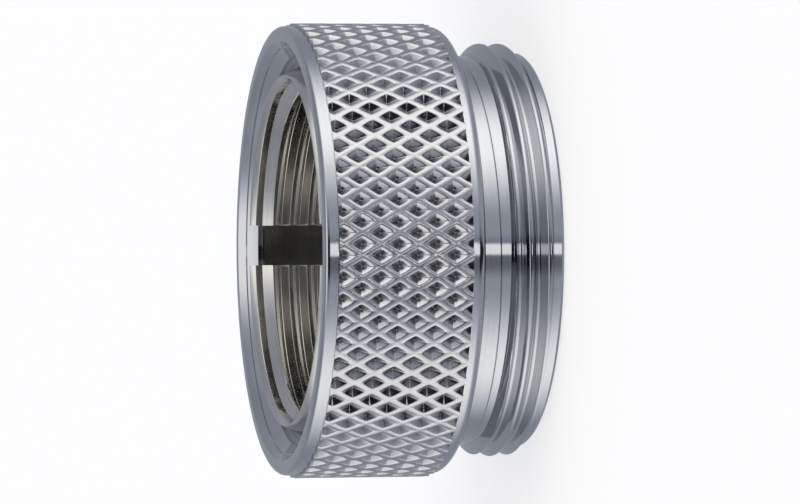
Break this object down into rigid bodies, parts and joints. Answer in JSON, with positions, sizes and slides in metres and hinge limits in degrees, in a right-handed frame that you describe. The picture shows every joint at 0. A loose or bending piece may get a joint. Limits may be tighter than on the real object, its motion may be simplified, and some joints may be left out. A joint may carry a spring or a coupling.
{
  "type": "thread reducer",
  "caption": "Knurled chrome-plated thread reducer for a water outlet, with a fine male thread at one end and a smaller female thread inside the other.",
  "frame": {"origin": "on the axis, in the plane of the male end face that the part stands on", "axes": "+Z along the axis, from the male end to the open knurled end; the key slots lie across the bore along Y"},
  "size_m": [0.024, 0.024, 0.0129],
  "materials": {
    "chrome_plate": "bright chrome plate over turned brass, warmer nickel inside the bore"
  },
  "bodies": {
    "root": {"reducer_body": "chrome_plate"}
  },
  "joints": []
}
